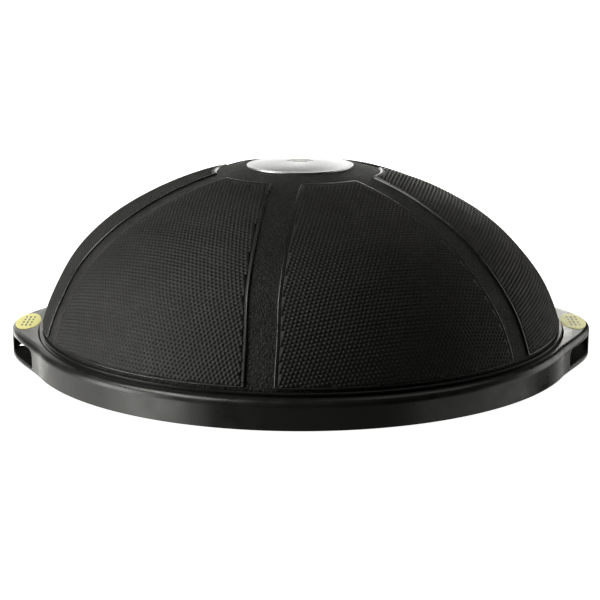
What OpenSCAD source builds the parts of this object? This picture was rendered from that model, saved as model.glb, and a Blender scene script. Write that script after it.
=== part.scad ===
// Balance dome trainer: an inflated half-ball clamped on a round platform
// with a hand-hold lobe on each side. Millimetres, +Z up, X through the lobes,
// origin on the floor under the middle of the platform.

/* [Dome] */
// Radius of the dome where it meets the clamp ring
dome_r = 293.3; // [285:0.1:300]
// Height of that circle above the floor
dome_base_z = 40.9; // [38:0.1:42]
// Radius of curvature over the crown
crown_r = 378.5; // [360:0.1:420]
// Angle from the top at which the crown turns into the shoulder
crown_angle = 31.6; // [26:0.1:36]
// Angle from the top at which the shoulder ends
base_angle = 74.1; // [70:0.1:80]
// Wall thickness of the dome
dome_wall = 3.5; // [2.5:0.1:4]
// Radius of the tuck under the dome's widest circle
tuck_r = 12; // [10:0.5:13]

/* [Grip panels] */
// Number of panels round the dome
panel_n = 6; // [4:1:8]
// Height of a panel above the ribs
panel_t = 1.8; // [1:0.1:2.5]
// Half the width of the smooth rib between two panels
rib_half_w = 15.6; // [10:0.1:20]
// Radius of the smooth zone round the crown
cap_r = 92; // [80:1:105]
// Turn of the ribs away from the line of the lobes
dome_turn = -8.1; // [-15:0.1:15]

/* [Platform] */
// Radius of the rim's face
rim_r = 309.5; // [308:0.1:312]
// Height of the platform's top above the floor
platform_top = 34.5; // [33:0.1:36]
// Width of the round on the rim's top edge
rim_round_w = 7.5; // [5:0.1:8]
// Height of the round on the rim's top edge
rim_round_h = 8.5; // [6:0.1:10]
// How far a lobe stands out beyond the rim
lobe_out = 22.5; // [18:0.5:26]
// Half the length of a lobe along the rim
lobe_half = 120; // [100:1:125]
// Height of the tunnel's ceiling above the floor
tunnel_top = 27; // [25:0.5:28]
// Half the length of the outer wall that closes the tunnel
post_half = 22; // [15:1:30]

/* [Feet] */
// Number of rubber feet
foot_n = 8; // [6:1:8]
// Radius of a foot
foot_r = 20; // [15:1:24]
// Clearance of the platform above the floor
foot_h = 3; // [2:0.5:4]

/* [Badge and stickers] */
// Radius of the disc on the crown
badge_r = 60; // [50:1:70]
// Thickness of the disc
badge_t = 1.6; // [1:0.1:2]
// Half the width of a lobe's sticker
sticker_half_w = 13.6; // [10:0.1:13.6]
// Half the length of a lobe's sticker
sticker_half_l = 36; // [25:1:38]

/* [Air valve] */
// Angle of the air hole from the top of the dome
valve_angle = 67; // [62:0.5:69]
// Radius of the air hole
valve_bore_r = 5.5; // [4:0.1:6]
// Radius of the plug's stem
plug_stem_r = 5.42; // [3.9:0.01:5.95]
// Length of the plug's stem
plug_stem_l = 19; // [15:0.5:22]

/* [Screws] */
// Number of screws in the clamp ring
ring_screw_n = 16; // [12:2:20]
// Number of screws on each side of the platform's rim
base_screw_n = 5; // [3:1:5]

/* [Hidden] */

round_fn = 240;
small_fn = 48;
e = 0.01;

// Dome profile: crown arc, then shoulder arc, then the tuck
shoulder_r = (dome_r - crown_r * sin(crown_angle)) / (sin(base_angle) - sin(crown_angle));
dome_top = dome_base_z + crown_r * (1 - cos(crown_angle))
    + shoulder_r * (cos(crown_angle) - cos(base_angle));
crown_steps = 12;
shoulder_steps = 18;
tuck_steps = 6;
tuck_end = 135;
tuck_c = [dome_r - tuck_r * sin(base_angle), dome_base_z - tuck_r * cos(base_angle)];

// Clamp, flange and seat, from the bottom up
floor_z = foot_h + 4;
seat_z = 16;
gasket_z = 18;
flange_z = 22;
ring_foot_z = 28;
ring_out_r = 298.6;
ring_neck_r = 294.1;
ring_foot_r = 291;
ring_lip_z = 38.4;
ring_edge_z = 34.8;
ring_gap = 1.6;
seat_in_r = 282;
seat_out_r = 299.4;
flange_in_r = 284.5;
flange_out_r = 298.4;
ring_screw_r = 295.6;
shank_r = 1.4;
shank_hole_r = 1.75;
pilot_r = 1.45;
head_r = 3;
head_h = 2.6;
head_z = 11;
shank_top = 31;

// Shell
shell_in_r = 305.8;
shoulder_in_r = 299.8;
shoulder_under = 31.2;
boss_circle_r = 302.2;
boss_r = 2.6;
base_shank_r = 1.3;
base_pilot_r = 1.35;
base_hole_r = 1.6;
base_head_r = 2.6;
base_head_h = 2.2;
base_shank_top = 22;
lobe_power = 1.75;
lobe_root = 0.6;
lobe_steps = 34;
tunnel_floor = foot_h + 3.5;
tunnel_wall_r = 308;
tunnel_half = 96;
post_t = 5;
slot_front = 2;
slot_back = 30;
slot_in = 313;
slot_out = 324;

// Base
base_r = 305.4;
pan_r = 214;
pan_slope = 8;
pan_rise = 8;
pan_t = 4;
pan_rib_n = 12;
pan_rib_w = 4;
hub_r = 45;
foot_circle_r = 262;
foot_set = 1;

valve_az = dome_turn + 90;

function dome_pt(a, off) = let (
    r = a < crown_angle ? crown_r * sin(a)
        : crown_r * sin(crown_angle) + shoulder_r * (sin(a) - sin(crown_angle)),
    z = a < crown_angle ? dome_top - crown_r * (1 - cos(a))
        : dome_top - crown_r * (1 - cos(crown_angle)) - shoulder_r * (cos(crown_angle) - cos(a)))
    [r + off * sin(a), z + off * cos(a)];
function dome_arc(off) = concat(
    [for (i = [0:crown_steps - 1]) dome_pt(crown_angle * i / crown_steps, off)],
    [for (i = [0:shoulder_steps])
        dome_pt(crown_angle + (base_angle - crown_angle) * i / shoulder_steps, off)]);
function tuck_arc(off) = [for (i = [1:tuck_steps])
    let (a = base_angle + (tuck_end - base_angle) * i / tuck_steps)
    tuck_c + (tuck_r + off) * [sin(a), cos(a)]];
function reverse(v) = [for (i = [len(v) - 1:-1:0]) v[i]];
// Angle from the top at which the dome's surface is r from the axis
function dome_angle(r) = asin(r / crown_r);

// Plan outline of a lobe: how far its edge is from the lobe's axis line at y.
// At its ends it dips a little way inside the rim's face.
function lobe_swell(y) = pow(cos(90 * y / lobe_half), lobe_power);
function lobe_x(y) = sqrt(rim_r * rim_r - y * y) - lobe_root
    + (lobe_out + lobe_root) * lobe_swell(y);
function lobe_y(i) = 0.999 * lobe_half * (2 * i / lobe_steps - 1);
// How far the rim's top round has drawn in, at depth d below the platform's top
function rim_inset(d) = let (s = 1 - min(1, d / rim_round_h))
    rim_round_w * (1 - sqrt(1 - s * s));

// ---- shared shapes ----

module ring_of(n, r, start = 0) {
    for (i = [0:n - 1])
        rotate(start + 360 * i / n)
            translate([r, 0, 0])
                children();
}

module at_base_screws() {
    for (side = [0, 180])
        for (i = [1:base_screw_n])
            rotate(side + 180 * i / (base_screw_n + 1))
                translate([boss_circle_r, 0, 0])
                    children();
}

module at_valve() {
    p = dome_pt(valve_angle, 0);
    rotate(valve_az)
        translate([p[0], 0, p[1]])
            rotate([0, valve_angle, 0])
                children();
}

// ---- platform ----

module rim_band() {
    steps = 8;
    rotate_extrude($fn = round_fn)
        polygon(concat(
            [[shell_in_r, foot_h], [rim_r - 2, foot_h], [rim_r - 0.6, foot_h + 0.7],
             [rim_r, foot_h + 2.5]],
            [for (i = [0:steps]) let (a = 90 * i / steps)
                [rim_r - rim_round_w * (1 - cos(a)), platform_top - rim_round_h * (1 - sin(a))]],
            [[shoulder_in_r + 1, platform_top], [shoulder_in_r, platform_top - 1],
             [shoulder_in_r, shoulder_under], [shell_in_r - 1.3, shoulder_under],
             [shell_in_r, shoulder_under - 1.3]]));
}

// One layer of a lobe. Its edge is drawn in by inset at the middle, and by
// as much as the rim's own round at the two ends.
module lobe_layer(low, high, inset, inner) {
    end_inset = max(rim_inset(platform_top - high), inset / 2);
    outer_edge = [for (i = [0:lobe_steps]) let (y = lobe_y(i))
        [lobe_x(y) - end_inset - (inset - end_inset) * lobe_swell(y), y]];
    inner_edge = [for (i = [lobe_steps:-1:0]) let (y = lobe_y(i)) [sqrt(inner * inner - y * y), y]];
    translate([0, 0, low])
        linear_extrude(high - low)
            polygon(concat(outer_edge, inner_edge));
}

module lobe() {
    wall = shell_in_r + 0.6;
    lobe_layer(foot_h, foot_h + 1, 0.8, wall);
    lobe_layer(foot_h + 1, platform_top - 5.5, 0, wall);
    lobe_layer(platform_top - 5.5, platform_top - 2.9, 0.5, wall);
    lobe_layer(platform_top - 2.9, platform_top - 1.1, 1.5, shoulder_in_r + 3.2);
    lobe_layer(platform_top - 1.1, platform_top, 3, shoulder_in_r + 1.1);
}

module tunnel() {
    far = rim_r + 40;
    post = [for (i = [0:lobe_steps]) let (y = lobe_y(i)) if (abs(y) < post_half)
        [lobe_x(y) - post_t, y]];
    translate([0, 0, tunnel_floor])
        linear_extrude(tunnel_top - tunnel_floor)
            difference() {
                intersection() {
                    difference() {
                        circle(r = far, $fn = round_fn);
                        circle(r = tunnel_wall_r, $fn = round_fn);
                    }
                    translate([0, -tunnel_half])
                        square([far, 2 * tunnel_half]);
                }
                polygon(concat([[far + 5, post[0][1]]], post, [[far + 5, -post[0][1]]]));
            }
}

// Slot through the floor of the left tunnel
module drain_slot() {
    translate([-slot_out, slot_front, foot_h - 1])
        cube([slot_out - slot_in, slot_back - slot_front, tunnel_floor - foot_h + 2]);
}

module platform_shell() {
    color([0.13, 0.13, 0.13])
        difference() {
            union() {
                rim_band();
                lobe();
                mirror([1, 0, 0]) lobe();
                at_base_screws() {
                    translate([0, 0, floor_z + 0.2])
                        cylinder(r = boss_r, h = shoulder_under - floor_z, $fn = small_fn);
                    translate([0, -1.2, floor_z + 0.2])
                        cube([shell_in_r - boss_circle_r + 0.5, 2.4, shoulder_under - floor_z]);
                }
            }
            tunnel();
            mirror([1, 0, 0]) tunnel();
            drain_slot();
            at_base_screws()
                translate([0, 0, floor_z])
                    cylinder(r = base_pilot_r, h = base_shank_top - floor_z + 1, $fn = small_fn);
        }
}

module base_plate() {
    pan_z = foot_h + pan_rise;
    rotate_extrude($fn = round_fn)
        polygon([[0, pan_z], [pan_r, pan_z], [pan_r + pan_slope, foot_h], [base_r - 1, foot_h],
                 [base_r, foot_h + 1], [base_r, floor_z], [seat_out_r, floor_z],
                 [seat_out_r, seat_z], [seat_in_r, seat_z], [seat_in_r, floor_z],
                 [pan_r + pan_slope + 2, floor_z], [pan_r + 2, pan_z + pan_t], [0, pan_z + pan_t]]);
}

module platform_base() {
    color([0.10, 0.10, 0.10])
        difference() {
            union() {
                base_plate();
                for (i = [0:pan_rib_n - 1])
                    rotate(15 + 360 * i / pan_rib_n)
                        translate([hub_r - 2, -pan_rib_w / 2, foot_h + 1])
                            cube([pan_r - hub_r + 5, pan_rib_w, pan_rise]);
                translate([0, 0, foot_h + 1])
                    difference() {
                        cylinder(r = hub_r, h = pan_rise, $fn = 96);
                        translate([0, 0, -1])
                            cylinder(r = hub_r - 5, h = pan_rise, $fn = 96);
                    }
            }
            // hollow channel under the seat
            translate([0, 0, foot_h - 1])
                difference() {
                    cylinder(r = 290.5, h = seat_z - 4 - foot_h + 1, $fn = round_fn);
                    translate([0, 0, -1])
                        cylinder(r = seat_in_r + 3, h = seat_z, $fn = round_fn);
                }
            ring_of(ring_screw_n, ring_screw_r, 180 / ring_screw_n) {
                cylinder(r = shank_hole_r, h = seat_z + 1, $fn = small_fn);
                cylinder(r = head_r + 0.2, h = head_z, $fn = small_fn);
            }
            at_base_screws() {
                cylinder(r = base_hole_r, h = floor_z + 1, $fn = small_fn);
                cylinder(r = base_head_r + 0.2, h = foot_h + 0.3 + base_head_h, $fn = small_fn);
            }
            ring_of(foot_n, foot_circle_r, 180 / foot_n)
                cylinder(r = foot_r + 0.1, h = foot_h + foot_set, $fn = small_fn * 2);
        }
}

module clamp_ring() {
    steps = 5;
    lip_w = ring_out_r - ring_neck_r - 0.8;
    difference() {
        rotate_extrude($fn = round_fn)
            polygon(concat(
                [[ring_foot_r, flange_z], [ring_out_r, flange_z]],
                [for (i = [0:steps]) let (a = 90 * i / steps)
                    [ring_out_r - lip_w * (1 - cos(a)),
                     ring_edge_z + (ring_lip_z - ring_edge_z) * sin(a)]],
                [[ring_neck_r, ring_lip_z - 0.6], [ring_neck_r, ring_foot_z + 1.5],
                 [ring_foot_r, ring_foot_z - 1.5]]));
        ring_of(ring_screw_n, ring_screw_r, 180 / ring_screw_n)
            translate([0, 0, flange_z - 1])
                cylinder(r = pilot_r, h = shank_top - flange_z + 1.5, $fn = small_fn);
    }
}

module clamp_half() {
    intersection() {
        clamp_ring();
        translate([-rim_r, ring_gap / 2, 0])
            cube([2 * rim_r, rim_r, 2 * platform_top]);
    }
}

module clamp_ring_front() {
    color([0.16, 0.16, 0.16]) rotate(180) clamp_half();
}

module clamp_ring_rear() {
    color([0.16, 0.16, 0.16]) clamp_half();
}

module seal_gasket() {
    color([0.05, 0.05, 0.05])
        difference() {
            translate([0, 0, seat_z])
                cylinder(r = flange_out_r, h = gasket_z - seat_z, $fn = round_fn);
            translate([0, 0, seat_z - 1])
                cylinder(r = flange_in_r, h = gasket_z, $fn = round_fn);
            ring_of(ring_screw_n, ring_screw_r, 180 / ring_screw_n)
                cylinder(r = shank_hole_r, h = 2 * seat_z, $fn = small_fn);
        }
}

// ---- dome ----

module dome_shell() {
    outer = concat(dome_arc(0), tuck_arc(0));
    inner = concat(dome_arc(-dome_wall), tuck_arc(-dome_wall));
    color([0.09, 0.09, 0.09])
        difference() {
            rotate_extrude($fn = round_fn)
                polygon(concat(outer,
                    [[288.6, flange_z], [flange_out_r, flange_z], [flange_out_r, gasket_z],
                     [flange_in_r, gasket_z]],
                    reverse(inner)));
            ring_of(ring_screw_n, ring_screw_r, 180 / ring_screw_n)
                cylinder(r = shank_hole_r, h = flange_z + 1, $fn = small_fn);
            at_valve()
                translate([0, 0, -dome_wall - 3])
                    cylinder(r = valve_bore_r + 4.5, h = dome_wall + 8, $fn = small_fn);
        }
}

module grip_panel(k) {
    start_a = dome_angle(cap_r);
    outline = function(off) [for (i = [0:crown_steps + shoulder_steps])
        let (a = i <= crown_steps ? start_a + (crown_angle - start_a) * i / crown_steps
            : crown_angle + (base_angle - crown_angle) * (i - crown_steps) / shoulder_steps)
        dome_pt(a, off)];
    apex = rib_half_w / sin(180 / panel_n);
    reach = 2 * rim_r;
    color([0.07, 0.07, 0.07])
        intersection() {
            rotate_extrude($fn = round_fn)
                polygon(concat(outline(panel_t), reverse(outline(0.02))));
            rotate(dome_turn + 90 + 360 * (k - 0.5) / panel_n)
                translate([apex, 0, 0])
                    linear_extrude(2 * dome_top)
                        polygon([[0, 0],
                            reach * [cos(180 / panel_n), -sin(180 / panel_n)],
                            reach * [cos(180 / panel_n), sin(180 / panel_n)]]);
        }
}

module top_badge() {
    steps = 6;
    edge = dome_angle(badge_r);
    top = [for (i = [0:steps]) dome_pt(edge * i / steps * 0.985, badge_t)];
    under = [for (i = [0:steps]) dome_pt(edge * i / steps, 0.02)];
    color([0.75, 0.75, 0.76])
        rotate_extrude($fn = round_fn)
            polygon(concat(top, [dome_pt(edge, badge_t * 0.45)], reverse(under)));
}

module sticker() {
    mid = shoulder_in_r + 1.2 + sticker_half_w;
    points = [for (i = [0:71]) let (a = 5 * i)
        [mid + sticker_half_w * cos(a), sticker_half_l * sin(a)]];
    color([0.93, 0.84, 0.30])
        translate([0, 0, platform_top])
            linear_extrude(0.4)
                polygon(points);
}

module sticker_left() {
    rotate(180) sticker();
}

module sticker_right() {
    sticker();
}

// ---- air valve ----

module valve_seat() {
    body_r = valve_bore_r + 4.4;
    color([0.12, 0.12, 0.12])
        at_valve()
            difference() {
                rotate_extrude($fn = 72)
                    polygon([[0, -dome_wall - 16], [body_r - 1.4, -dome_wall - 16],
                             [body_r, -dome_wall - 3], [body_r + 6, -dome_wall - 2.6],
                             [body_r + 6, -dome_wall - 0.7], [body_r, -dome_wall - 0.2],
                             [body_r, 0.5], [body_r + 3.4, 0.7], [body_r + 3.4, 1.4],
                             [body_r + 2.6, 2], [0, 2]]);
                translate([0, 0, -40])
                    cylinder(r = valve_bore_r, h = 60, $fn = 72);
                // recess for the plug's head
                translate([0, 0, 1.2])
                    cylinder(r = valve_bore_r + 3.1, h = 5, $fn = 72);
            }
}

module valve_plug() {
    cap_radius = valve_bore_r + 2.9;
    color([0.82, 0.82, 0.80])
        at_valve()
            union() {
                rotate_extrude($fn = 72)
                    polygon([[0, 1.3 - plug_stem_l], [plug_stem_r - 1.6, 1.3 - plug_stem_l],
                             [plug_stem_r, 3.5 - plug_stem_l], [plug_stem_r, 7 - plug_stem_l],
                             [plug_stem_r - 0.9, 7.4 - plug_stem_l],
                             [plug_stem_r - 0.9, 10 - plug_stem_l],
                             [plug_stem_r, 11.5 - plug_stem_l], [plug_stem_r, 1.3],
                             [cap_radius, 1.3], [cap_radius, 2.6], [cap_radius - 0.8, 3.3], [0, 3.5]]);
                // finger tab
                translate([-1.1, -5, 3])
                    cube([2.2, 10, 3.4]);
            }
}

// ---- fasteners and feet ----

module ring_screws() {
    color([0.62, 0.62, 0.64])
        ring_of(ring_screw_n, ring_screw_r, 180 / ring_screw_n)
            union() {
                translate([0, 0, head_z - head_h])
                    difference() {
                        cylinder(r = head_r, h = head_h, $fn = small_fn);
                        translate([0, 0, -e])
                            cylinder(r = 1.3, h = 1.4, $fn = 6);
                    }
                translate([0, 0, head_z - e])
                    cylinder(r = shank_r, h = shank_top - head_z, $fn = small_fn);
            }
}

module base_screws() {
    head_low = foot_h + 0.3;
    color([0.62, 0.62, 0.64])
        at_base_screws()
            union() {
                translate([0, 0, head_low])
                    difference() {
                        cylinder(r = base_head_r, h = base_head_h, $fn = small_fn);
                        translate([0, 0, -e])
                            cylinder(r = 1.1, h = 1.2, $fn = 6);
                    }
                translate([0, 0, head_low + base_head_h - e])
                    cylinder(r = base_shank_r, h = base_shank_top - head_low - base_head_h,
                             $fn = small_fn);
            }
}

module foot(k) {
    color([0.20, 0.20, 0.20])
        rotate(360 * (k - 0.5) / foot_n)
            translate([foot_circle_r, 0, 0])
                rotate_extrude($fn = 96)
                    polygon([[0, 0], [foot_r - 1.5, 0], [foot_r, 1.5], [foot_r, foot_h + foot_set],
                             [0, foot_h + foot_set]]);
}

platform_shell();
platform_base();
clamp_ring_front();
clamp_ring_rear();
seal_gasket();
dome_shell();
for (k = [1:panel_n])
    grip_panel(k);
top_badge();
sticker_left();
sticker_right();
valve_seat();
valve_plug();
ring_screws();
base_screws();
for (k = [1:foot_n])
    foot(k);
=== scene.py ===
"""Looks of a balance dome trainer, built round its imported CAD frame.

Metres, +Z up, floor at z = 0, X through the two hand-hold lobes, camera on the -Y side.
"""

import math

import bmesh
import bpy
import numpy as np
from mathutils import Matrix, Vector, geometry


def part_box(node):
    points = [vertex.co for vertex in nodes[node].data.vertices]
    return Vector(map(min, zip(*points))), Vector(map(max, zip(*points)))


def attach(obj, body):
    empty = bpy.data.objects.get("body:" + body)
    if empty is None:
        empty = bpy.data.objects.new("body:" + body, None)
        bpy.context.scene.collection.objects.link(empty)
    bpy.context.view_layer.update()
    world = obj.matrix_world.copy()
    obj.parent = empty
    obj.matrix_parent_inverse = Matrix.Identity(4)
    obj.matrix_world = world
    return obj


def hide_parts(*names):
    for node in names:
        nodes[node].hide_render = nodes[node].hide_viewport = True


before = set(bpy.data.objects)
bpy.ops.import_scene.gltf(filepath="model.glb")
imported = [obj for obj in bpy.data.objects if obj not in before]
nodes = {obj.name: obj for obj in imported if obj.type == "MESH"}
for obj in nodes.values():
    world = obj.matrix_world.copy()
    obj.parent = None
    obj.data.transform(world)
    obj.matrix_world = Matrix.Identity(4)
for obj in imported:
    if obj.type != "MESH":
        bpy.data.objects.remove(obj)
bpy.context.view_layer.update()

MM = 0.001

# ---- sizes, in metres ----

# The dome: a crown arc running into a shoulder arc, then a tuck under the clamp ring.
DOME_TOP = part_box("dome_shell")[1].z
DOME_R = 293.3 * MM
CROWN_R = 378.5 * MM
CROWN_ANGLE = math.radians(31.6)
BASE_ANGLE = math.radians(74.1)
CROWN_SIN = math.sin(CROWN_ANGLE)
SHOULDER_R = (DOME_R - CROWN_R * CROWN_SIN) / (math.sin(BASE_ANGLE) - CROWN_SIN)
DOME_WALL = 3.5 * MM
TUCK_R = 12 * MM
TUCK_END = math.radians(135)
FLANGE_W = 13.9 * MM
FLANGE_TUCK = 9.8 * MM  # from the flange's outer edge in to where the tuck ends
DOME_TURN = math.radians(-8.1)  # turn of the ribs against the lobes
LEAN = -2.8 * MM  # how far the soft dome sags to the left, fully so above LEAN_FULL
LEAN_FROM = 80 * MM
LEAN_FULL = 130 * MM
BADGE_SHIFT = -0.9 * MM
DOME_SEGMENTS = 256

# The grip panels and the ribs between them.
PANEL_N = 6
RIB_HALF_TOP = 15.4 * MM
RIB_HALF_LOW = 14.2 * MM
CAP_R = 92 * MM
PANEL_CORNER_R = 4 * MM
BORDER_W = 4.1 * MM
BORDER_FLARE = 2.3 * MM  # extra width of the border at the panel's inner end
FLARE_LENGTH = 25 * MM
BORDER_TOP = 5.8 * MM
BORDER_LOW = 2 * MM
BORDER_WALL = 0.3  # share of the border's width that its outer wall takes
BORDER_H = 2.1 * MM
FIELD_H = 1.55 * MM
EDGE_SHARE = 0.42  # share of the border that has the smooth edge's gloss
PANEL_SUNK = 0.3 * MM
DOT_PITCH = 4.7 * MM
DOT_R = 1.8 * MM
DOT_H = 1.15 * MM
FIELD_MARGIN = 0.25 * MM  # least room between a dot's points and the border
MIN_DOT_ROOM = 0.3  # share of a dot's radius that has to fit inside the border
MESH_MERGE = 1e-5  # how close two points may lie in a triangulation, in millimetres

# The platform's shell: a rim, two lobes, a tunnel in each and a slot in the left one.
RIM_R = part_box("platform_shell")[1].y
PLATFORM_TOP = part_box("platform_shell")[1].z
PLATFORM_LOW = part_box("platform_shell")[0].z
LOBE_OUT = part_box("platform_shell")[1].x - RIM_R
LOBE_HALF = 120 * MM
LOBE_POWER = 1.75  # how steeply a lobe rises out of the rim
RIM_ROUND_W = 7.5 * MM
RIM_ROUND_H = 8.5 * MM
LOBE_ROUND_W = 5.5 * MM
LOBE_ROUND_H = 5.5 * MM
SHELL_IN_R = 305.8 * MM
SHOULDER_IN_R = 299.8 * MM
SHOULDER_UNDER = 31.2 * MM
TUNNEL_TOP = 27 * MM
TUNNEL_FLOOR = 6.5 * MM
TUNNEL_WALL_R = 308 * MM
TUNNEL_HALF = 95.5 * MM
POST_HALF = 14 * MM
POST_T = 3.5 * MM
SLOT_FRONT = 2 * MM
SLOT_BACK = 36 * MM
SLOT_IN = 311.5 * MM
SLOT_LIP = 2.6 * MM  # floor left between the slot and the lobe's edge
LOBE_RISE = 1.7 * MM  # how far the lobe's top swells above the rim's

VALVE_ANGLE = math.radians(67)
VALVE_HOLE_R = 10 * MM
VALVE_CUT_IN = -12 * MM
VALVE_CUT_OUT = 8 * MM

BADGE_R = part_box("top_badge")[1].x
BADGE_T = 1.6 * MM
PRINT_T = 0.05 * MM
PRINT_SINK = 0.3 * MM  # how deep a print's strip reaches into its piece


# ---- mesh helpers ----

def new_object(name, verts, faces, body="trainer", smooth=True):
    """A mesh object from vertices in the row frame and faces, riding on a body."""
    mesh = bpy.data.meshes.new(name)
    mesh.from_pydata([tuple(v) for v in verts], [], [tuple(int(i) for i in f) for f in faces])
    mesh.validate()
    mesh.polygons.foreach_set("use_smooth", [smooth] * len(mesh.polygons))
    obj = bpy.data.objects.new(name, mesh)
    bpy.context.scene.collection.objects.link(obj)
    if body:
        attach(obj, body)
    return obj


def turned(profile, angles, closed):
    """Vertices and side faces of a closed (r, z) profile set at each of some angles."""
    profile = np.asarray(profile)
    r, z = profile[:, 0], profile[:, 1]
    verts = np.stack([np.outer(np.cos(angles), r), np.outer(np.sin(angles), r),
                      np.tile(z, (len(angles), 1))], axis=-1).reshape(-1, 3)
    n = len(profile)
    faces = []
    for i in range(len(angles) - (0 if closed else 1)):
        here, there = i * n, (i + 1) % len(angles) * n
        for j in range(n):
            k = (j + 1) % n
            faces.append((here + j, there + j, there + k, here + k))
    return verts, faces


def lathe(profile, segments):
    """Vertices and faces of a closed (r, z) profile turned round the Z axis."""
    return turned(profile, np.arange(segments) * 2 * math.pi / segments, closed=True)


def part_lathe(profile, start, end, segments):
    """Vertices and faces of a profile turned through part of a circle, with flat ends."""
    verts, faces = turned(profile, np.linspace(start, end, segments + 1), closed=False)
    n = len(profile)
    ends = [tuple(reversed(range(n))), tuple(range(segments * n, (segments + 1) * n))]
    return verts, ends + faces


def weld(obj, distance=1e-6):
    """Joins vertices that lie in one place, such as a lathe's on its axis, and turns faces out."""
    bm = bmesh.new()
    bm.from_mesh(obj.data)
    bmesh.ops.remove_doubles(bm, verts=bm.verts, dist=distance)
    bmesh.ops.recalc_face_normals(bm, faces=bm.faces)
    bm.to_mesh(obj.data)
    bm.free()


def sharpen(obj, angle=40):
    """Smooth shading, except across edges sharper than the angle in degrees."""
    obj.data.shade_smooth()
    obj.data.set_sharp_from_angle(angle=math.radians(angle))


# ---- the dome's surface ----

CROWN_ARC = CROWN_R * CROWN_ANGLE
DOME_ARC = CROWN_ARC + SHOULDER_R * (BASE_ANGLE - CROWN_ANGLE)


def dome_profile(arc, lift=0.0):
    """(r, z) of the dome's surface at a length of arc from the top, raised by lift."""
    arc = np.asarray(arc, float)
    on_crown = arc <= CROWN_ARC
    tilt = np.where(on_crown, arc / CROWN_R, CROWN_ANGLE + (arc - CROWN_ARC) / SHOULDER_R)
    crown_edge_r = CROWN_R * CROWN_SIN
    crown_edge_z = DOME_TOP - CROWN_R * (1 - math.cos(CROWN_ANGLE))
    r = np.where(on_crown, CROWN_R * np.sin(tilt),
                 crown_edge_r + SHOULDER_R * (np.sin(tilt) - CROWN_SIN))
    z = np.where(on_crown, DOME_TOP - CROWN_R * (1 - np.cos(tilt)),
                 crown_edge_z - SHOULDER_R * (math.cos(CROWN_ANGLE) - np.cos(tilt)))
    return r + lift * np.sin(tilt), z + lift * np.cos(tilt)


def dome_arc_at(r):
    """Length of arc from the top to where the dome's radius is r."""
    r = np.asarray(r, float)
    edge = CROWN_R * CROWN_SIN
    crown = CROWN_R * np.arcsin(np.clip(r / CROWN_R, 0, 1))
    sine = np.clip((r - edge) / SHOULDER_R + CROWN_SIN, 0, 1)
    return np.where(r <= edge, crown, CROWN_ARC + SHOULDER_R * (np.arcsin(sine) - CROWN_ANGLE))


def lean(obj):
    """Moves the upper part of a piece of the soft dome a little to one side."""
    for vert in obj.data.vertices:
        t = min(max((vert.co.z - LEAN_FROM) / (LEAN_FULL - LEAN_FROM), 0), 1)
        vert.co.x += LEAN * t * t * (3 - 2 * t)


def tuck_profile(lift, steps=10):
    """(r, z) points of the tuck that turns in under the dome's widest circle."""
    r, z = dome_profile(DOME_ARC)
    centre = np.array([r - TUCK_R * math.sin(BASE_ANGLE), z - TUCK_R * math.cos(BASE_ANGLE)])
    tilt = BASE_ANGLE + (TUCK_END - BASE_ANGLE) * np.arange(1, steps + 1) / steps
    return centre + (TUCK_R + lift) * np.stack([np.sin(tilt), np.cos(tilt)], axis=-1)


def valve_matrix():
    """Place of the air valve: its Z axis points out of the dome in the rear rib."""
    arc = CROWN_ARC + SHOULDER_R * (VALVE_ANGLE - CROWN_ANGLE)
    r, z = (float(v) for v in dome_profile(arc))
    turn = Matrix.Rotation(DOME_TURN + math.pi / 2, 4, "Z")
    return turn @ Matrix.Translation((r, 0, z)) @ Matrix.Rotation(VALVE_ANGLE, 4, "Y")


def make_dome():
    """The inflated skin: ribs, crown and tuck in one closed shell, with the air hole cut."""
    arcs = DOME_ARC * np.linspace(0, 1, 91)
    outer = np.stack(dome_profile(arcs), axis=-1)
    inner = np.stack(dome_profile(arcs, -DOME_WALL), axis=-1)
    flange_low, flange_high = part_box("seal_gasket")[1].z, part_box("clamp_ring_front")[0].z
    flange_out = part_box("seal_gasket")[1].x
    foot = [(flange_out - FLANGE_TUCK, flange_high), (flange_out, flange_high),
            (flange_out, flange_low), (flange_out - FLANGE_W, flange_low)]
    profile = np.concatenate([outer, tuck_profile(0), foot,
                              tuck_profile(-DOME_WALL)[::-1], inner[::-1]])
    dome = new_object("dome_skin", *lathe(profile, DOME_SEGMENTS))
    weld(dome)

    cutter = new_object("air_hole", *lathe([(0, VALVE_CUT_IN), (VALVE_HOLE_R, VALVE_CUT_IN),
                                            (VALVE_HOLE_R, VALVE_CUT_OUT), (0, VALVE_CUT_OUT)],
                                           64), body=None)
    weld(cutter)
    cutter.data.transform(valve_matrix())
    cut = dome.modifiers.new("air_hole", "BOOLEAN")
    cut.operation, cut.solver, cut.object = "DIFFERENCE", "EXACT", cutter
    bpy.context.view_layer.update()
    finished = dome.evaluated_get(bpy.context.evaluated_depsgraph_get())
    dome.data = bpy.data.meshes.new_from_object(finished)
    dome.modifiers.clear()
    bpy.data.objects.remove(cutter)
    lean(dome)
    sharpen(dome, 50)
    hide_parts("dome_shell")
    return dome


# ---- grip panels ----

FLAT_R = 321.5 * MM  # the sphere whose arcs and girth match the dome's, for laying out the dots
SECTOR = math.pi / PANEL_N
CAP_ARC = float(dome_arc_at(CAP_R))


def flat(arc, azimuth):
    """Panel coordinates of a dome point: across and along the panel's centre line."""
    down = arc / FLAT_R
    across = FLAT_R * np.arcsin(np.sin(down) * np.sin(azimuth))
    along = FLAT_R * np.arctan2(np.sin(down) * np.cos(azimuth), np.cos(down))
    return across, along


def unflat(across, along):
    """Arc from the top and azimuth from the centre line, of a point in panel coordinates."""
    a, b = across / FLAT_R, along / FLAT_R
    down = np.arccos(np.clip(np.cos(a) * np.cos(b), -1, 1))
    return FLAT_R * down, np.arctan2(np.sin(a), np.cos(a) * np.sin(b))


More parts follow.
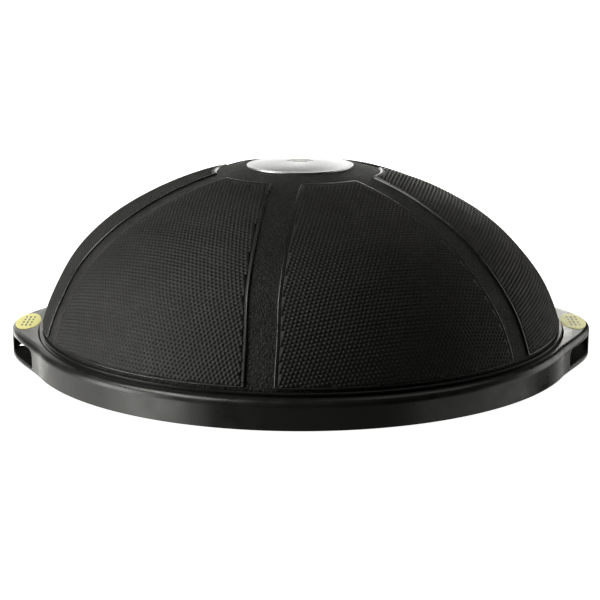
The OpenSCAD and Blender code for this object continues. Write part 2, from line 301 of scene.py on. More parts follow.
def rib_half(arc):
    """Half the width of a rib, which narrows a little from the crown to the clamp ring."""
    return np.interp(arc, [CAP_ARC, DOME_ARC], [RIB_HALF_TOP, RIB_HALF_LOW])


def border_width(arc):
    """Width of a panel's border along its side; it flares towards the inner end."""
    return BORDER_W + BORDER_FLARE * np.exp((CAP_ARC - arc) / FLARE_LENGTH)


def edge_azimuth(arc, share):
    """Azimuth from the panel's centre line of its side, drawn in by a share of the border."""
    reach = rib_half(arc) + share * border_width(arc)
    return SECTOR - np.arcsin(reach / dome_profile(arc)[0])


def panel_loop(share, side_n=60, end_n=44, corner_n=7):
    """The panel's outline drawn in by a share of the border, anticlockwise in panel coordinates."""
    top_arc = CAP_ARC + share * BORDER_TOP
    low_arc = DOME_ARC - share * BORDER_LOW
    side_arc = np.linspace(top_arc, low_arc, side_n)
    side_azimuth = edge_azimuth(side_arc, share)
    top_azimuth = edge_azimuth(top_arc, share) * np.linspace(1, -1, end_n // 2)
    low_azimuth = edge_azimuth(low_arc, share) * np.linspace(-1, 1, end_n)
    sides = [np.stack(flat(side_arc[::-1], side_azimuth[::-1]), axis=-1),
             np.stack(flat(top_arc * np.ones_like(top_azimuth), top_azimuth), axis=-1),
             np.stack(flat(side_arc, -side_azimuth), axis=-1),
             np.stack(flat(low_arc * np.ones_like(low_azimuth), low_azimuth), axis=-1)]
    radius = max(PANEL_CORNER_R - share * BORDER_W, 0.5 * MM)
    trimmed = [trim(side, radius * 1.1) for side in sides]
    loop = []
    for k, side in enumerate(trimmed):
        following = trimmed[(k + 1) % 4]
        corner = sides[k][-1]
        t = np.linspace(0, 1, corner_n + 2)[1:-1, None]
        loop += [side, (1 - t) ** 2 * side[-1] + 2 * t * (1 - t) * corner + t ** 2 * following[0]]
    return np.concatenate(loop)


def trim(line, length):
    """A polyline with the same number of points, shortened by length at both ends."""
    steps = np.linalg.norm(np.diff(line, axis=0), axis=1)
    at = np.concatenate([[0], np.cumsum(steps)])
    wanted = np.linspace(length, at[-1] - length, len(line))
    return np.stack([np.interp(wanted, at, line[:, i]) for i in (0, 1)], axis=-1)


def border_height(share):
    """Height of the panel's border over the rib: a steep wall, then a gentle fall to the field."""
    wall = min(share / BORDER_WALL, 1)
    fall = max((share - BORDER_WALL) / (1 - BORDER_WALL), 0)
    rounded_wall = (1 - (1 - wall) ** 2.2) ** 0.6
    return BORDER_H * rounded_wall - (BORDER_H - FIELD_H) * math.sin(fall * math.pi / 2) ** 2


def panel_room(points, share):
    """How far points in panel coordinates lie inside the panel's outline drawn in by a share."""
    arc, azimuth = unflat(points[:, 0], points[:, 1])
    across = dome_profile(arc)[0] * np.sin(np.maximum(SECTOR - np.abs(azimuth), -1))
    return np.minimum.reduce([across - rib_half(arc) - share * border_width(arc),
                              arc - CAP_ARC - share * BORDER_TOP,
                              DOME_ARC - arc - share * BORDER_LOW])


def dot_centres():
    """Places of the raised dots: a hexagonal lattice with its rows across the panel."""
    row = DOT_PITCH * math.sqrt(3) / 2
    rows = np.arange(round(CAP_R * 0.9 / row), round(DOME_ARC * 1.05 / row))
    columns = np.arange(-40, 41)
    along, across = np.meshgrid(rows * row, columns * DOT_PITCH, indexing="ij")
    across = across + DOT_PITCH / 2 * (rows[:, None] % 2)
    centres = np.stack([across.ravel(), along.ravel()], axis=-1)
    return centres[panel_room(centres, 1) > DOT_R * MIN_DOT_ROOM]


def triangulate(points, loop_n):
    """Delaunay triangles of points inside the loop that the first loop_n of them form.

    Gives the points, the triangles, and for each point the first one that it stands for.
    """
    loop = [list(range(loop_n))]
    found = geometry.delaunay_2d_cdt([Vector(p) for p in points / MM], [], loop, 1, MESH_MERGE)
    verts, _, faces, origin = found[:4]
    return np.array([tuple(v) for v in verts]) * MM, faces, [o[0] if o else None for o in origin]


def loop_places(origin, loop_n):
    """Where each point of the loop is in the triangulated points."""
    order = {first: i for i, first in enumerate(origin) if first is not None}
    return [order[i] for i in range(loop_n)]


def dotted_field(loop):
    """Points, heights and triangles of the dotted field inside a loop of panel coordinates."""
    rings = [(0, 1, 0.0), (0.55, 6, 0.0), (1, 12, 0.5)]  # share of the radius, points, turn
    centres = dot_centres()
    points, heights = [loop], [np.zeros(len(loop))]
    for share, count, offset in rings:
        angle = 2 * math.pi * (np.arange(count) + offset) / count
        ring = DOT_R * share * np.stack([np.cos(angle), np.sin(angle)], axis=-1)
        points.append((centres[:, None] + ring[None]).reshape(-1, 2))
        heights.append(np.full(len(centres) * count, DOT_H * (1 - share ** 2)))
    points, heights = np.concatenate(points), np.concatenate(heights)
    keep = np.append(np.full(len(loop), True), panel_room(points[len(loop):], 1) > FIELD_MARGIN)
    points, heights = points[keep], heights[keep]
    flat_points, faces, origin = triangulate(points, len(loop))
    new_heights = np.array([0.0 if first is None else heights[first] for first in origin])
    return flat_points, new_heights, faces, loop_places(origin, len(loop))


def plain_field(loop, spacing=14 * MM, margin=4 * MM):
    """Points and triangles that fill a loop of panel coordinates coarsely, for the underside."""
    low, high = loop.min(0), loop.max(0)
    grid = np.stack(np.meshgrid(np.arange(low[0], high[0], spacing),
                                np.arange(low[1], high[1], spacing)), axis=-1).reshape(-1, 2)
    points = np.concatenate([loop, grid[panel_room(grid, 0) > margin]])
    flat_points, faces, origin = triangulate(points, len(loop))
    return flat_points, faces, loop_places(origin, len(loop))


def panel_to_space(points, heights):
    """Row-frame points of a panel centred on +X, from panel coordinates and heights."""
    arc, azimuth = unflat(points[:, 0], points[:, 1])
    r, z = dome_profile(arc, heights)
    return np.stack([r * np.cos(azimuth), r * np.sin(azimuth), z], axis=-1)


def panel_mesh():
    """Vertices, faces and the number of border faces of one panel, centred on +X."""
    shares = np.concatenate([BORDER_WALL * (1 - np.cos(np.linspace(0, 0.5, 6) * math.pi)),
                             np.linspace(BORDER_WALL, 1, 6)[1:]])
    loops = [panel_loop(share) for share in shares]
    n = len(loops[0])
    rows = [panel_to_space(loops[0], np.full(n, -PANEL_SUNK))]
    rows += [panel_to_space(loop, np.full(n, border_height(share)))
             for loop, share in zip(loops[:-1], shares)]
    faces = []
    for k in range(len(rows) - 1):
        for j in range(n):
            m = (j + 1) % n
            faces.append((k * n + j, k * n + m, (k + 1) * n + m, (k + 1) * n + j))

    points, bumps, triangles, loop_at = dotted_field(loops[-1])
    start = len(rows) * n
    rows.append(panel_to_space(points, FIELD_H + bumps))
    last = (len(loops) - 1) * n
    for j in range(n):
        m = (j + 1) % n
        faces.append((last + j, last + m, start + loop_at[m], start + loop_at[j]))
    border_faces = n * int(1 + (shares < EDGE_SHARE).sum())
    faces += [tuple(start + i for i in f) for f in triangles]

    under, under_faces, under_loop = plain_field(loops[0])
    at = {i: j for j, i in enumerate(under_loop)}
    base = start + len(points)
    rows.append(panel_to_space(under, np.full(len(under), -PANEL_SUNK)))
    index = [at.get(i, base + i) for i in range(len(under))]
    faces += [tuple(index[i] for i in reversed(f)) for f in under_faces]
    return np.concatenate(rows), faces, border_faces


def make_panels():
    """Six grip panels, one mesh turned into each place, and the number of their border faces."""
    verts, faces, border_faces = panel_mesh()
    pads = []
    for k in range(1, PANEL_N + 1):
        pad = new_object(f"grip_pad_{k}", verts, faces, body=None)
        turn = DOME_TURN + math.pi / 2 + 2 * SECTOR * (k - 0.5)
        pad.data.transform(Matrix.Rotation(turn, 4, "Z"))
        loose_points(pad)
        lean(pad)
        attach(pad, "trainer")
        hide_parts(f"grip_panel_{k}")
        pads.append(pad)
    return pads, border_faces


def loose_points(obj):
    """Removes vertices that no face uses."""
    bm = bmesh.new()
    bm.from_mesh(obj.data)
    bmesh.ops.delete(bm, geom=[v for v in bm.verts if not v.link_faces], context="VERTS")
    bm.to_mesh(obj.data)
    bm.free()


# ---- platform shell, as the zero surface of a distance field ----

def rounded_max(a, b, radius):
    """Intersection of two distance fields, its edge rounded to a radius."""
    u, v = a + radius, b + radius
    outside = np.hypot(np.maximum(u, 0), np.maximum(v, 0))
    return outside + np.minimum(np.maximum(u, v), 0) - radius


def lobe_swell(y):
    """How far a lobe stands out at y, as a share of the most."""
    return np.cos(np.clip(y / LOBE_HALF, -1, 1) * math.pi / 2) ** LOBE_POWER


def field_edge(x, y):
    """Signed distance in plan to the rim's face, lobes and all; negative inside.

    The lobes are alike, so x comes without its sign.
    """
    swell = np.where(x > LOBE_HALF, lobe_swell(y), 0)
    rim_x = np.sqrt(np.maximum(RIM_R ** 2 - y ** 2, 1e-6))
    slope = -y / rim_x + LOBE_OUT * np.where(x > LOBE_HALF, lobe_slope(y), 0)
    lobe_edge = (x - rim_x - LOBE_OUT * swell) / np.sqrt(1 + slope ** 2)
    return np.where(swell > 0, lobe_edge, np.hypot(x, y) - RIM_R)


def shell_field(x, y, z):
    """Signed distance to the platform's shell, nearly; negative inside."""
    left = x < 0
    x = np.abs(x)
    r = np.hypot(x, y)
    swell = np.where(x > LOBE_HALF, lobe_swell(y), 0)
    edge = field_edge(x, y)

    round_w = RIM_ROUND_W + (LOBE_ROUND_W - RIM_ROUND_W) * swell
    round_h = RIM_ROUND_H + (LOBE_ROUND_H - RIM_ROUND_H) * swell
    across = np.clip((r - SHOULDER_IN_R) / (RIM_R - SHOULDER_IN_R), 0, 1)
    top = PLATFORM_TOP + LOBE_RISE * swell * across
    body = rounded_max(edge, (z - top) * round_w / round_h, round_w)
    body = rounded_max(body, PLATFORM_LOW - z, 1.0 * MM)
    inner = rounded_max(SHOULDER_IN_R - r, SHOULDER_UNDER - z, 0.8 * MM)
    inner = np.minimum(SHELL_IN_R - r, inner)
    body = rounded_max(body, inner, 0.9 * MM)

    end = rounded_max(np.abs(y) - TUNNEL_HALF, z - TUNNEL_TOP, 9 * MM)
    tunnel = rounded_max(end, TUNNEL_FLOOR - z, 2 * MM)
    tunnel = rounded_max(tunnel, TUNNEL_WALL_R - r, 3 * MM)
    post = rounded_max(np.abs(y) - POST_HALF, -POST_T - edge, 2 * MM)
    tunnel = rounded_max(tunnel, -post, 1.5 * MM)
    slot = rounded_max(np.abs(y - (SLOT_FRONT + SLOT_BACK) / 2) - (SLOT_BACK - SLOT_FRONT) / 2,
                       np.maximum(SLOT_IN - r, edge + SLOT_LIP), 3 * MM)
    slot = np.maximum(slot, z - TUNNEL_FLOOR - 4 * MM)
    body = rounded_max(body, -np.maximum(tunnel, LOBE_HALF - x), 1.1 * MM)
    slot = np.where(left, np.maximum(slot, LOBE_HALF - x), LOBE_HALF)  # in the left lobe only
    return rounded_max(body, -slot, 0.8 * MM)


def lobe_slope(y):
    """Slope of lobe_swell."""
    turn = np.clip(y / LOBE_HALF, -1, 1) * math.pi / 2
    return -LOBE_POWER * np.cos(turn) ** (LOBE_POWER - 1) * np.sin(turn) * math.pi / 2 / LOBE_HALF


def surface_net(field):
    """Vertices, in steps of the grid, and quads of a field's zero surface.

    The first axis wraps round. Each mixed cell has one vertex, the mean of its edges' crossings.
    """
    field = np.concatenate([field, field[:1]])
    inside = field < 0
    size = np.array(field.shape) - 1
    corners = [(i, j, k) for i in (0, 1) for j in (0, 1) for k in (0, 1)]

    def part(a, c):
        return a[c[0]:c[0] + size[0], c[1]:c[1] + size[1], c[2]:c[2] + size[2]]

    count = sum(part(inside, c).astype(np.int8) for c in corners)
    mixed = (count > 0) & (count < 8)
    cells = int(mixed.sum())
    cell_id = np.full(size, -1)
    cell_id[mixed] = np.arange(cells)
    total, hits = np.zeros((cells, 3)), np.zeros(cells)
    for axis in range(3):
        for c in [c for c in corners if c[axis] == 0]:
            far = tuple(c[i] + (i == axis) for i in range(3))
            a, b = part(field, c)[mixed], part(field, far)[mixed]
            cross = (a < 0) != (b < 0)
            place = np.tile(np.array(c, float), (cells, 1))
            place[:, axis] = np.where(cross, a / np.where(cross, a - b, 1), 0)
            total[cross] += place[cross]
            hits[cross] += 1
    verts = np.argwhere(mixed) + total / hits[:, None]

    quads = []
    for axis in range(3):
        u, v = (axis + 1) % 3, (axis + 2) % 3
        low, high = [slice(None)] * 3, [slice(None)] * 3
        low[axis], high[axis] = slice(0, -1), slice(1, None)
        change = inside[tuple(low)] != inside[tuple(high)]
        at = np.argwhere(change)
        at = at[(at[:, 1] > 0) & (at[:, 2] > 0)] if axis == 0 else at
        other = [w for w in (1, 2) if w != axis]
        for w in other:
            at = at[(at[:, w] > 0) & (at[:, w] < size[w])]
        at = at[at[:, 0] < size[0]]
        ring = []
        for du, dv in ((-1, -1), (0, -1), (0, 0), (-1, 0)):
            cell = at.copy()
            cell[:, u] += du
            cell[:, v] += dv
            cell[:, 0] %= size[0]
            ring.append(cell_id[tuple(cell.T)])
        ring = np.stack(ring, axis=-1)
        outward = inside[tuple(at.T)]
        quads.append(np.where(outward[:, None], ring[:, ::-1], ring))
    return verts, np.concatenate(quads)


def make_platform_shell():
    """The rim with its two lobes and tunnels, in one closed mesh whose quads follow the rim."""
    plain = np.radians(1.5)  # steps round the rim, coarse between the lobes and fine on them
    fine = np.radians(0.25)
    lobe_span = math.asin((LOBE_HALF + 5 * MM) / RIM_R)
    half = np.concatenate([np.arange(-lobe_span, lobe_span, fine),
                           np.linspace(lobe_span, math.pi - lobe_span,
                                       int((math.pi - 2 * lobe_span) / plain), endpoint=False)])
    azimuth = np.concatenate([half, half + math.pi])
    step = 0.95 * MM
    radius = np.arange(SHOULDER_IN_R - 2.5 * step, RIM_R + LOBE_OUT + 2.5 * step, step)
    height = np.arange(PLATFORM_LOW - 2.3 * step, PLATFORM_TOP + 2.3 * step, step)
    a, r, z = np.meshgrid(azimuth, radius, height, indexing="ij")
    field = shell_field(r * np.cos(a), r * np.sin(a), z)
    verts, quads = surface_net(field)
    turns = np.append(azimuth, azimuth[0] + 2 * math.pi)
    a = np.interp(verts[:, 0], np.arange(len(turns)), turns)
    r = radius[0] + verts[:, 1] * step
    points = np.stack([r * np.cos(a), r * np.sin(a), height[0] + verts[:, 2] * step], axis=-1)
    for _ in range(4):
        value, slope = field_slope(points)
        move = value[:, None] * slope / np.maximum((slope ** 2).sum(1), 0.25)[:, None]
        points -= np.clip(move, -step / 2, step / 2)
    slope = field_slope(points)[1]
    normals = slope / np.maximum(np.linalg.norm(slope, axis=1), 1e-9)[:, None]

    shell = new_object("platform_rim", points, quads)
    shell.data.normals_split_custom_set_from_vertices([tuple(n) for n in normals])
    # The tunnel's inside faces, which are darker than the rest: a near-black material there is
    # painted shade in the tunnels.
    middles = np.array([tuple(polygon.center) for polygon in shell.data.polygons])
    x, y, z = np.abs(middles[:, 0]), middles[:, 1], middles[:, 2]
    deep = (x > LOBE_HALF) & (np.abs(y) < TUNNEL_HALF - 3 * MM) & (z < TUNNEL_TOP + 1 * MM)
    deep &= (z > TUNNEL_FLOOR - 1 * MM) & (np.hypot(x, y) > TUNNEL_WALL_R - 1.5 * MM)
    deep &= field_edge(x, y) < -2.5 * MM
    shell["inside_faces"] = [int(i) for i in np.flatnonzero(deep)]
    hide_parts("platform_shell")
    return shell


def field_slope(points, reach=0.05 * MM):
    """Value and gradient of the shell's field at some points."""
    value = shell_field(*points.T)
    slope = []
    for axis in range(3):
        shift = np.zeros(3)
        shift[axis] = reach
        ahead, behind = shell_field(*(points + shift).T), shell_field(*(points - shift).T)
        slope.append((ahead - behind) / (2 * reach))
    return value, np.stack(slope, axis=-1)


# ---- clamp ring ----

def make_clamp_half(side, middle):
    """Half of the clamp ring: a thin bead over a recessed neck, and a foot under the rim."""
    node = f"clamp_ring_{side}"
    low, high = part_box(node)
    out_r, foot_z, lip_z = high.x, low.z, high.z
    neck_r = out_r - 2.3 * MM
    bead = [(out_r - s * MM, lip_z - d * MM) for s, d in
            ((1.5, 1.35), (0.5, 1.25), (0.12, 1.0), (0, 0.65), (0.12, 0.3), (0.5, 0.08), (1, 0))]
    profile = [(out_r - 7.6 * MM, foot_z), (out_r - 0.2 * MM, foot_z), (out_r, foot_z + 0.2 * MM),
               (out_r, PLATFORM_TOP - 1.2 * MM), (neck_r, PLATFORM_TOP + 0.2 * MM),
               (neck_r, lip_z - 1.6 * MM), *bead,
               (out_r - 3.7 * MM, lip_z - 0.2 * MM), (out_r - 4.5 * MM, lip_z - 1.6 * MM),
               (out_r - 4.5 * MM, foot_z + 7.5 * MM), (out_r - 7.6 * MM, foot_z + 4.5 * MM)]
    gap = math.asin(abs(high.y if side == "front" else low.y) / out_r)
    half = new_object(f"clamp_half_{side}", *part_lathe(profile, middle - math.pi / 2 + gap,
                                                        middle + math.pi / 2 - gap, 160))
    sharpen(half, 35)
    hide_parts(node)
    return half


# ---- badge and stickers ----

def strip(half_w, half_l, centre, turn, height_at, steps=6):
    """Vertices and faces of a thin closed strip of print, laid over a surface."""
    verts, faces = [], []
    for t in np.linspace(-1, 1, steps + 1):
        for side, lift in ((-1, -PRINT_SINK), (1, -PRINT_SINK), (1, PRINT_T), (-1, PRINT_T)):
            x, y = side * half_w, t * half_l
            px = centre[0] + x * math.cos(turn) - y * math.sin(turn)
            py = centre[1] + x * math.sin(turn) + y * math.cos(turn)
            verts.append((px, py, height_at(px, py) + lift))
    for k in range(steps):
        for j in range(4):
            m = (j + 1) % 4
            faces.append((4 * k + j, 4 * k + m, 4 * k + 4 + m, 4 * k + 4 + j))
    faces += [(3, 2, 1, 0), tuple(4 * steps + j for j in range(4))]
    return verts, faces


def add_print(obj, strips):
    """Adds closed strips to a piece, in its second material."""
    first = len(obj.data.polygons)
    bm = bmesh.new()
    bm.from_mesh(obj.data)
    for verts, faces in strips:
        made = [bm.verts.new(v) for v in verts]
        for face in faces:
            bm.faces.new([made[i] for i in face])
    bm.to_mesh(obj.data)
    bm.free()
    obj["print_from"] = first


def make_badge():
    """The metal disc on the crown: a brushed field inside a thin raised rim."""
    rim_w, rim_h, sink = 1.8 * MM, 0.25 * MM, 0.2 * MM
    arc = float(dome_arc_at(BADGE_R))
    top = [dome_profile((arc - rim_w) * t, BADGE_T - rim_h) for t in np.linspace(0, 1, 25)]
    rim = [dome_profile(arc - rim_w * s, BADGE_T - rim_h * d)
           for s, d in ((0.85, 0.3), (0.65, 0.0), (0.3, 0.0), (0.1, 0.5), (0, 1.4))]
    low = [dome_profile(arc * t, -sink) for t in np.linspace(1, 0, 12)]
    profile = np.array([(float(r), float(z)) for r, z in top + rim + low])
    badge = new_object("crown_badge", *lathe(profile, 192))
    weld(badge)
    sharpen(badge, 60)

    def height_at(x, y):
        return float(dome_profile(dome_arc_at(math.hypot(x, y)), BADGE_T - rim_h)[1])

    bars = [(7.5, 11), (0, 15), (-7.5, 8)]  # a bar's place and half its length, in millimetres
    add_print(badge, [strip(1.7 * MM, half * MM, (0, y * MM), math.pi / 2, height_at)
                      for y, half in bars])
    badge.data.transform(Matrix.Translation((BADGE_SHIFT, 0, 0)))
    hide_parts("top_badge")
    return badge


def make_sticker(side, node):
    """A plain oval sticker with a soft edge, on the lobe's top."""
    low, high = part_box(node)
    centre = (low + high) / 2
    half_w, half_l = (high.x - low.x) / 2, (high.y - low.y) / 2
    thick = high.z - low.z

    def top_at(x, y):
        reach = min(max((math.hypot(x, y) - SHOULDER_IN_R) / (RIM_R - SHOULDER_IN_R), 0), 1)
        return low.z + LOBE_RISE * float(lobe_swell(y)) * reach

    angles = np.arange(96) * 2 * math.pi / 96
    verts, faces = [], []
    # Each ring's inset, and its height as a share of the sticker's thickness.
    rings = [(0, -0.3), (0, 0.6), (0.25 * MM, 1), (3 * MM, 1), (half_w * 0.6, 1)]
    for inset, up in rings:
        for a in angles:
            x = centre.x + (half_w - inset) * math.cos(a)
            y = centre.y + (half_l - inset) * math.sin(a)
            verts.append((x, y, top_at(x, y) + thick * up))
    n = len(angles)
    for k in range(len(rings) - 1):
        for j in range(n):
            m = (j + 1) % n
            faces.append((k * n + j, k * n + m, (k + 1) * n + m, (k + 1) * n + j))
    faces += [tuple(range((len(rings) - 1) * n, len(rings) * n)), tuple(reversed(range(n)))]
    sticker = new_object(f"sticker_pad_{side}", verts, faces)
    sharpen(sticker, 30)
    bars = [(row, place) for row in (-0.34, 0.0, 0.34) for place in (-0.5, -0.17, 0.17, 0.5)]
    add_print(sticker, [strip(1.0 * MM, (4.6 - 3 * abs(row)) * MM,
                              (centre.x + row * half_w, centre.y + place * half_l), 0,
                              lambda x, y: top_at(x, y) + thick, steps=1) for row, place in bars])
    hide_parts(node)
    return sticker


# ---- materials ----

MIX_COLOR_A, MIX_COLOR_B, MIX_COLOR_OUT = 6, 7, 2  # the Mix node's sockets that carry colour


def new_material(name, color, roughness, metallic=0.0, specular=0.5):
    """A Principled material, and a helper that adds and wires nodes to it."""
    material = bpy.data.materials.new(name)
    material.use_nodes = True
    tree = material.node_tree
    shader = tree.nodes["Principled BSDF"]
    shader.inputs["Base Color"].default_value = (*color, 1)
    shader.inputs["Roughness"].default_value = roughness
    shader.inputs["Metallic"].default_value = metallic
    shader.inputs["Specular IOR Level"].default_value = specular

    def node(kind, **settings):
        made = tree.nodes.new(f"ShaderNode{kind}")
        for key, value in settings.items():
            target = made.inputs.get(key.replace("_", " "))
            if target is None:
                setattr(made, key.lower(), value)
            elif hasattr(value, "is_output"):
                tree.links.new(value, target)
            else:
                target.default_value = value
        return made

    def place():
        return node("TexCoord").outputs["Object"]

    def noise(scale, detail=3.0, at=None):
        return node("TexNoise", Vector=at or place(), Scale=scale, Detail=detail).outputs["Fac"]

    def spread(value, low, high, start=0.3, end=0.7):
        made = node("MapRange", Value=value, From_Min=start, From_Max=end, To_Min=low, To_Max=high)
        return made.outputs["Result"]

    def shade(value, dark, light, start=0.3, end=0.7):
        made = node("ValToRGB", Fac=value)
        made.color_ramp.elements[0].position, made.color_ramp.elements[1].position = start, end
        made.color_ramp.elements[0].color = (*dark, 1)
        made.color_ramp.elements[1].color = (*light, 1)
        return made.outputs["Color"]

    def bump(height, distance, strength=1.0, over=None):
        made = node("Bump", Height=height, Distance=distance, Strength=strength)
        if over:
            tree.links.new(over, made.inputs["Normal"])
        return made.outputs["Normal"]

    def drive(socket, value):
        tree.links.new(value, shader.inputs[socket])

    kit = {"node": node, "place": place, "noise": noise, "spread": spread, "shade": shade,
           "bump": bump, "drive": drive, "shader": shader}
    return material, kit


def grained(name, color, roughness, grain, depth, specular=0.5, contrast=0.25, spread=0.06,
            speckle=0.1):
    """A moulded plastic or rubber: fine grain, broad colour drift, handling marks in its gloss.

    Grain is the scale of the grain and depth the height of its bump. Contrast is the share by
    which the drift changes the colour, and speckle the share by which the grain darkens it.
    """
    material, kit = new_material(name, color, roughness, specular=specular)
    dark = tuple(c * (1 - contrast) for c in color)
    light = tuple(c * (1 + contrast) for c in color)
    drift = kit["shade"](kit["noise"](14, 4), dark, light)
    fine = kit["shade"](kit["noise"](grain, 2), (1 - speckle,) * 3, (1,) * 3, 0.4, 0.6)
    mixed = kit["node"]("Mix", data_type="RGBA", blend_type="MULTIPLY")
    mixed.inputs["Factor"].default_value = 1.0
    material.node_tree.links.new(drift, mixed.inputs[MIX_COLOR_A])
    material.node_tree.links.new(fine, mixed.inputs[MIX_COLOR_B])
    kit["drive"]("Base Color", mixed.outputs[MIX_COLOR_OUT])
    marks = kit["noise"](55, 5)
    kit["drive"]("Roughness", kit["spread"](marks, roughness - spread, roughness + spread))
    pebble = kit["node"]("TexVoronoi", Vector=kit["place"](), Scale=grain).outputs["Distance"]
    coarse = kit["bump"](pebble, depth, 0.8)
    kit["drive"]("Normal", kit["bump"](kit["noise"](grain * 2.2, 2), depth * 0.5, 0.5, over=coarse))
    return material


def brushed(name, color, roughness):
    """Silver foil brushed in circles about the crown."""
    material, kit = new_material(name, color, roughness, metallic=1.0)
    xyz = kit["node"]("SeparateXYZ", Vector=kit["place"]())
    squares = [kit["node"]("Math", operation="MULTIPLY") for _ in range(2)]
    for made, axis in zip(squares, "XY"):
        for socket in made.inputs[:2]:
            material.node_tree.links.new(xyz.outputs[axis], socket)
    total = kit["node"]("Math", operation="ADD")
    root = kit["node"]("Math", operation="SQRT")
    for made, socket in zip(squares, total.inputs):
        material.node_tree.links.new(made.outputs[0], socket)
    material.node_tree.links.new(total.outputs[0], root.inputs[0])
    ring_place = kit["node"]("CombineXYZ")
    material.node_tree.links.new(root.outputs[0], ring_place.inputs["X"])
    lines = kit["noise"](2600, 2, at=ring_place.outputs["Vector"])
    kit["drive"]("Base Color", kit["shade"](lines, tuple(c * 0.93 for c in color), color))
    kit["drive"]("Roughness", kit["spread"](lines, roughness - 0.05, roughness + 0.08))
    kit["drive"]("Normal", kit["bump"](lines, 0.02 * MM, 0.5))
    kit["shader"].inputs["Anisotropic"].default_value = 0.4
    return material


def paint(obj, *materials):
    """Puts materials in an object's slots, in place of what it has."""
    obj.data.materials.clear()
    for material in materials:
        obj.data.materials.append(material)


def two_tone(obj, first, second, where):
    """Paints a piece, with a second material on the faces that where picks."""
    paint(obj, first, second)
    index = np.zeros(len(obj.data.polygons), np.int32)
    index[where] = 1
    obj.data.polygons.foreach_set("material_index", index)


def printed(obj, ground, ink):
    """Paints a piece, and its strips of print in a second material."""
    two_tone(obj, ground, ink, slice(obj["print_from"], None))
    del obj["print_from"]


# ---- studio ----

CAMERA_RIGHT = -0.001  # place in metres, pitch in radians, lens in millimetres
CAMERA_BACK = 1.897
CAMERA_UP = 0.521
CAMERA_PITCH = 0.2378
CAMERA_LENS = 101.65
LIGHT_REACH = 2.4  # from the lights to the point that they face, LIGHT_AIM_UP over the floor
LIGHT_AIM_UP = 0.1
LIGHT_TINT = (1.0, 0.995, 0.94)
FLOOR_REACH = 9.0
SURROUND_R = 8.8
SURROUND_UP = 6


def make_camera():
    """The camera, in front of the object and looking a little down on it."""
    data = bpy.data.cameras.new("camera")
    data.lens, data.sensor_width = CAMERA_LENS, 36
    data.clip_start, data.clip_end = 0.05, 50
    camera = bpy.data.objects.new("camera", data)
    camera.location = (CAMERA_RIGHT, -CAMERA_BACK, CAMERA_UP)
    camera.rotation_euler = (math.pi / 2 - CAMERA_PITCH, 0, 0)
    bpy.context.scene.collection.objects.link(camera)
    bpy.context.scene.camera = camera


def softbox(name, azimuth, elevation, size, power):
    """A rectangular light that faces the object, from angles in degrees about it."""
    data = bpy.data.lights.new(name, "AREA")
    data.shape, data.size, data.size_y = "RECTANGLE", size[0], size[1]
    data.energy, data.color = power, LIGHT_TINT
    light = bpy.data.objects.new(name, data)
    turn, lift = math.radians(azimuth), math.radians(elevation)
    flat_reach = math.cos(lift)
    away = Vector((flat_reach * math.cos(turn), flat_reach * math.sin(turn), math.sin(lift)))
    light.location = Vector((0, 0, LIGHT_AIM_UP)) + LIGHT_REACH * away
    light.rotation_euler = (-away).to_track_quat("-Z", "Y").to_euler()
    bpy.context.scene.collection.objects.link(light)


def backdrop(obj, material, shader):
    """Paints a piece of the studio white, and keeps its light off the object."""
    shader.inputs["Emission Color"].default_value = (1, 1, 1, 1)
    shader.inputs["Emission Strength"].default_value = 1.0
    paint(obj, material)
    obj.visible_glossy = obj.visible_diffuse = obj.visible_shadow = False


def make_studio():
    """A pale floor, a white surround, and soft lights with the key from the left."""
    scene = bpy.context.scene
    scene.view_settings.view_transform = "Standard"
    world = bpy.data.worlds.new("surround")
    scene.world = world
    world.use_nodes = True
    world.node_tree.nodes["Background"].inputs["Color"].default_value = (1, 1, 1, 1)
    world.node_tree.nodes["Background"].inputs["Strength"].default_value = 0.0

    floor_mat, kit = new_material("floor_white", (0.9, 0.9, 0.9), 0.7)
    kit["drive"]("Base Color", kit["shade"](kit["noise"](3, 2), (0.88,) * 3, (0.92,) * 3))
    corners = [(x * FLOOR_REACH, y * FLOOR_REACH, 0)
               for x, y in ((-1, -1), (1, -1), (1, 1), (-1, 1))]
    floor = new_object("floor", corners, [(0, 1, 2, 3)], body=None)
    backdrop(floor, floor_mat, kit["shader"])

    wall_mat, kit = new_material("surround_white", (0.9, 0.9, 0.9), 0.8)
    out, low = SURROUND_R + 0.1, -0.1
    wall_profile = [(SURROUND_R, low), (SURROUND_R, SURROUND_UP), (out, SURROUND_UP), (out, low)]
    wall = new_object("surround_wall", *lathe(wall_profile, 64), body=None)
    backdrop(wall, wall_mat, kit["shader"])

    square, wide, small = (1.25, 1.25), (2.5, 1.25), (0.6, 0.6)
    # The key, from the left: level for the panels, raked for the badge, low for the rim.
    softbox("key_left", 195, 8, square, 26)
    softbox("key_raked", 200, 48, (1.4, 0.9), 29)
    softbox("rim_left_front", 210, -22, square, 15)
    softbox("rim_left_rear", 165, -22, wide, 11)
    # Weak fill for the front and the right.
    softbox("fill_front", 285, -22, wide, 1)
    softbox("fill_right_front", 330, -22, square, 2.5)
    softbox("fill_right", 0, -8, square, 4)
    softbox("fill_right_rear", 30, 8, square, 7.5)
    softbox("fill_right_top", 20, 62, square, 3)
    # Back light for the crown and the lobes.
    softbox("back_level", 105, 8, wide, 15)
    softbox("back_right", 75, 8, small, 4)
    softbox("back_high", 75, 35, small, 3)
    softbox("lobe_edge_right", 46, -16, small, 1)
    softbox("lobe_edge_left", 130, -12, small, 4)


# ---- build ----

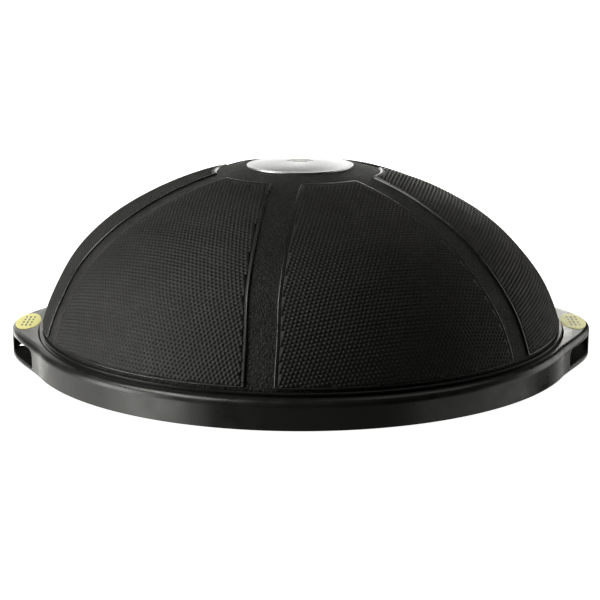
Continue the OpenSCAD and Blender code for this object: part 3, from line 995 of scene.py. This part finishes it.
def build():
    """Every piece with its material: the visual pieces first, then the CAD nodes that show."""
    skin = grained("skin_rubber", (0.03, 0.03, 0.0285), 0.64, 520, 0.9 * MM,
                   specular=0.3, speckle=0.9)
    grip = grained("grip_rubber_dots", (0.024, 0.024, 0.023), 0.55, 600, 0.15 * MM,
                   specular=0.35, speckle=0.5)
    smooth_edge = grained("grip_rubber_edge", (0.016, 0.016, 0.015), 0.26, 1400, 0.01 * MM,
                          specular=1.0)
    satin = grained("shell_satin", (0.016, 0.016, 0.016), 0.31, 2200, 0.01 * MM, specular=0.6)
    ring_plastic = grained("ring_satin", (0.018, 0.018, 0.018), 0.33, 2200, 0.01 * MM)
    base_plastic = grained("base_grained", (0.02, 0.02, 0.02), 0.5, 900, 0.05 * MM)
    gasket = grained("gasket_black", (0.012, 0.012, 0.012), 0.6, 1500, 0.03 * MM)
    valve_soft = grained("valve_soft", (0.02, 0.02, 0.02), 0.45, 1500, 0.02 * MM)
    plug_hard = grained("plug_white", (0.6, 0.6, 0.57), 0.35, 1500, 0.01 * MM, contrast=0.05)
    foot_rubber = grained("foot_rubber_black", (0.015, 0.015, 0.015), 0.7, 1200, 0.06 * MM)
    steel = grained("screw_steel_zinc", (0.45, 0.45, 0.46), 0.35, 2500, 0.01 * MM, contrast=0.1)
    steel.node_tree.nodes["Principled BSDF"].inputs["Metallic"].default_value = 1.0
    silver = brushed("badge_brushed", (0.93, 0.935, 0.985), 0.3)
    # The sticker's yellow print, which also gets a little emission as a painted glow.
    yellow = grained("sticker_print_with_painted_glow", (0.96, 0.9, 0.28), 0.42, 2500, 0.005 * MM,
                     contrast=0.04, speckle=0.02)
    painted_glow = yellow.node_tree.nodes["Principled BSDF"].inputs  # painted light: the sticker film glows a little, though it is no lamp
    painted_glow["Emission Color"].default_value = (1, 0.92, 0.25, 1)
    painted_glow["Emission Strength"].default_value = 0.2

    paint(make_dome(), skin)
    pads, border_faces = make_panels()
    for pad in pads:
        two_tone(pad, grip, smooth_edge, slice(border_faces))
    shell = make_platform_shell()
    # Painted shade: a near-black material on the tunnels' inside faces stands for the shade in
    # them.
    dark = grained("shell_inside_painted_shade", (0.004, 0.004, 0.004), 0.85, 900, 0.03 * MM, specular=0.1)
    two_tone(shell, satin, dark, list(shell["inside_faces"]))
    del shell["inside_faces"]
    ink = grained("print_ink", (0.14, 0.12, 0.07), 0.4, 2500, 0.002 * MM)
    printed(make_badge(), silver, ink)
    printed(make_sticker("left", "sticker_left"), yellow, ink)
    printed(make_sticker("right", "sticker_right"), yellow, ink)
    paint(make_clamp_half("front", -math.pi / 2), ring_plastic)
    paint(make_clamp_half("rear", math.pi / 2), ring_plastic)

    paint(nodes["platform_base"], base_plastic)
    paint(nodes["seal_gasket"], gasket)
    paint(nodes["valve_seat"], valve_soft)
    paint(nodes["valve_plug"], plug_hard)
    for node in ("ring_screws", "base_screws"):
        paint(nodes[node], steel)
    for k in range(1, 9):
        paint(nodes[f"foot_{k}"], foot_rubber)


build()
make_studio()
make_camera()
